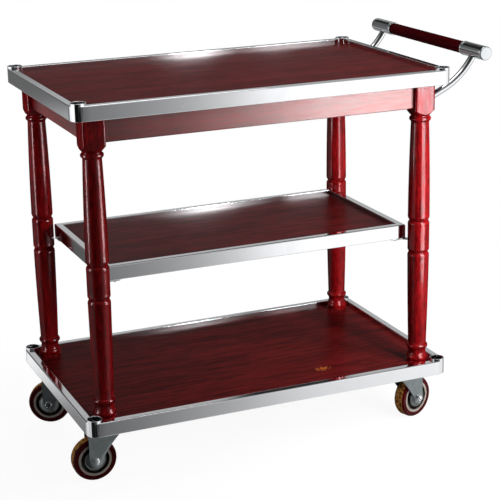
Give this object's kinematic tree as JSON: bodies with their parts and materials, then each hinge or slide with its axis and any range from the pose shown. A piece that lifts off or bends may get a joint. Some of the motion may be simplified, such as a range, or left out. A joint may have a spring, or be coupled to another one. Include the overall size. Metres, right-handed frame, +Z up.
{
  "type": "serving cart",
  "caption": "Serving cart with three panelled tiers in chromed rails, turned wooden legs under an aproned top, swivel casters and a push handle at one end.",
  "frame": {"origin": "on the floor under the middle of the cart's bounding box, with the handle and the casters as they stand", "axes": "+X along the trays towards the push handle, +Y across the trays to the back, +Z up"},
  "size_m": [0.9992, 0.5316, 0.9029],
  "materials": {
    "panel_laminate": "dark mahogany laminate, satin",
    "rail_chrome": "polished",
    "cup_chrome": "polished",
    "sleeve_chrome": "polished",
    "tube_chrome": "polished",
    "bracket_steel": "zinc plated",
    "fastener_steel": "zinc plated",
    "caster_zinc": "zinc plated",
    "batten_wood": "sealed hardwood",
    "leg_wood": "high-gloss red mahogany lacquer",
    "apron_wood": "gloss red mahogany lacquer",
    "grip_wood": "gloss dark maroon lacquer",
    "tyre_maroon": "moulded, scuffed tread",
    "hub_cream": "moulded",
    "guard_grey": "satin grey"
  },
  "bodies": {
    "cart": {"top_panel": "panel_laminate", "top_rail_front": "rail_chrome", "top_rail_back": "rail_chrome", "top_rail_left": "rail_chrome", "top_rail_right": "rail_chrome", "top_corner_cups": "cup_chrome", "middle_panel": "panel_laminate", "middle_rail_front": "rail_chrome", "middle_rail_back": "rail_chrome", "middle_rail_left": "rail_chrome", "middle_rail_right": "rail_chrome", "shelf_brackets": "bracket_steel", "bottom_panel": "panel_laminate", "bottom_rail_front": "rail_chrome", "bottom_rail_back": "rail_chrome", "bottom_rail_left": "rail_chrome", "bottom_rail_right": "rail_chrome", "bottom_corner_cups": "cup_chrome", "caster_batten_left": "batten_wood", "caster_batten_right": "batten_wood", "leg_front_left": "leg_wood", "leg_front_right": "leg_wood", "leg_back_left": "leg_wood", "leg_back_right": "leg_wood", "apron_front": "apron_wood", "apron_back": "apron_wood", "apron_left": "apron_wood", "apron_right": "apron_wood", "corner_blocks": "batten_wood", "leg_bolts": "fastener_steel", "pan_head_screws": "fastener_steel", "handle_grip": "grip_wood", "handle_sleeve_front": "sleeve_chrome", "handle_sleeve_back": "sleeve_chrome", "handle_tube_front": "tube_chrome", "handle_tube_back": "tube_chrome", "caster_front_left_plate": "caster_zinc", "caster_front_right_plate": "caster_zinc", "caster_back_left_plate": "caster_zinc", "caster_back_right_plate": "caster_zinc"},
    "caster_front_left_swivel": {"caster_front_left_fork": "caster_zinc", "caster_front_left_axle": "fastener_steel", "caster_front_left_guards": "guard_grey"},
    "caster_front_left_wheel": {"caster_front_left_hub": "hub_cream", "caster_front_left_tyre": "tyre_maroon"},
    "caster_front_right_swivel": {"caster_front_right_fork": "caster_zinc", "caster_front_right_axle": "fastener_steel", "caster_front_right_guards": "guard_grey"},
    "caster_front_right_wheel": {"caster_front_right_hub": "hub_cream", "caster_front_right_tyre": "tyre_maroon"},
    "caster_back_left_swivel": {"caster_back_left_fork": "caster_zinc", "caster_back_left_axle": "fastener_steel", "caster_back_left_guards": "guard_grey"},
    "caster_back_left_wheel": {"caster_back_left_hub": "hub_cream", "caster_back_left_tyre": "tyre_maroon"},
    "caster_back_right_swivel": {"caster_back_right_fork": "caster_zinc", "caster_back_right_axle": "fastener_steel", "caster_back_right_guards": "guard_grey"},
    "caster_back_right_wheel": {"caster_back_right_hub": "hub_cream", "caster_back_right_tyre": "tyre_maroon"}
  },
  "joints": [
    {"name": "front_left_swivel", "type": "hinge", "parent": "cart", "child": "caster_front_left_swivel", "pos_m": [-0.4183, -0.173, 0.1085], "axis": [0, 0, 1], "continuous": true},
    {"name": "front_left_wheel_spin", "type": "hinge", "parent": "caster_front_left_swivel", "child": "caster_front_left_wheel", "pos_m": [-0.44925, -0.17138, 0.05], "axis": [-0.0523, -0.9986, 0], "continuous": true},
    {"name": "front_right_swivel", "type": "hinge", "parent": "cart", "child": "caster_front_right_swivel", "pos_m": [0.3307, -0.173, 0.1085], "axis": [0, 0, 1], "continuous": true},
    {"name": "front_right_wheel_spin", "type": "hinge", "parent": "caster_front_right_swivel", "child": "caster_front_right_wheel", "pos_m": [0.35993, -0.16265, 0.05], "axis": [-0.3338, 0.9426, 0], "continuous": true},
    {"name": "back_left_swivel", "type": "hinge", "parent": "cart", "child": "caster_back_left_swivel", "pos_m": [-0.4183, 0.173, 0.1085], "axis": [0, 0, 1], "continuous": true},
    {"name": "back_left_wheel_spin", "type": "hinge", "parent": "caster_back_left_swivel", "child": "caster_back_left_wheel", "pos_m": [-0.44616, 0.18659, 0.05], "axis": [-0.4384, -0.8988, 0], "continuous": true},
    {"name": "back_right_swivel", "type": "hinge", "parent": "cart", "child": "caster_back_right_swivel", "pos_m": [0.3307, 0.173, 0.1085], "axis": [0, 0, 1], "continuous": true},
    {"name": "back_right_wheel_spin", "type": "hinge", "parent": "caster_back_right_swivel", "child": "caster_back_right_wheel", "pos_m": [0.3614, 0.17731, 0.05], "axis": [-0.1392, 0.9903, 0], "continuous": true}
  ]
}
